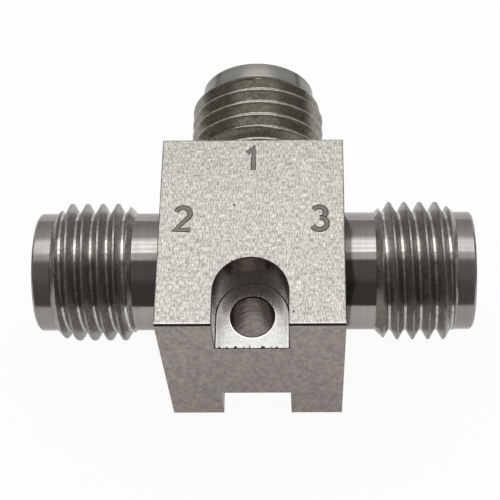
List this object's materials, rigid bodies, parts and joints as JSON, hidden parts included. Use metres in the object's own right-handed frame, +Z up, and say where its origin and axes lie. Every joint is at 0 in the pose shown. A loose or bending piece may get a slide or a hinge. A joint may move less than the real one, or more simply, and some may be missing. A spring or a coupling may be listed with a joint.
{
  "type": "resistive power divider",
  "caption": "Coaxial resistive power divider: a milled steel block with threaded female jacks on its sides, a screw recess in front and a groove underneath.",
  "frame": {"origin": "on the plane of the feet, under the middle of the overall box", "axes": "+Z up through the top face, +Y from the front face with the screw recess to the rear jack, +X to the right jack"},
  "size_m": [0.0198, 0.0148, 0.01],
  "materials": {
    "block_steel": "milled and fine blasted stainless steel",
    "turned_steel": "turned and passivated stainless steel",
    "bush_steel": "turned stainless steel",
    "bead_plastic": "natural amber engineering plastic",
    "contact_gold": "gold plated copper alloy",
    "seal_metal": "gold plated sealing alloy",
    "seal_glass": "fused sealing glass",
    "chip_ceramic": "white fired ceramic",
    "resistor_film": "dark thin resistor film",
    "chip_gold": "thin film gold",
    "cover_steel": "ground stainless steel"
  },
  "bodies": {
    "root": {"body_block": "block_steel", "left_jack_shell": "turned_steel", "right_jack_shell": "turned_steel", "rear_jack_shell": "turned_steel", "left_bush": "bush_steel", "right_bush": "bush_steel", "rear_bush": "bush_steel", "left_support_bead": "bead_plastic", "right_support_bead": "bead_plastic", "rear_support_bead": "bead_plastic", "left_center_contact": "contact_gold", "right_center_contact": "contact_gold", "rear_center_contact": "contact_gold", "left_seal_ring": "seal_metal", "right_seal_ring": "seal_metal", "rear_seal_ring": "seal_metal", "left_seal_glass": "seal_glass", "right_seal_glass": "seal_glass", "rear_seal_glass": "seal_glass", "left_seal_pin": "contact_gold", "right_seal_pin": "contact_gold", "rear_seal_pin": "contact_gold", "resistor_substrate": "chip_ceramic", "resistor_films": "resistor_film", "conductor_traces": "chip_gold", "cover_plate": "cover_steel"}
  },
  "joints": []
}
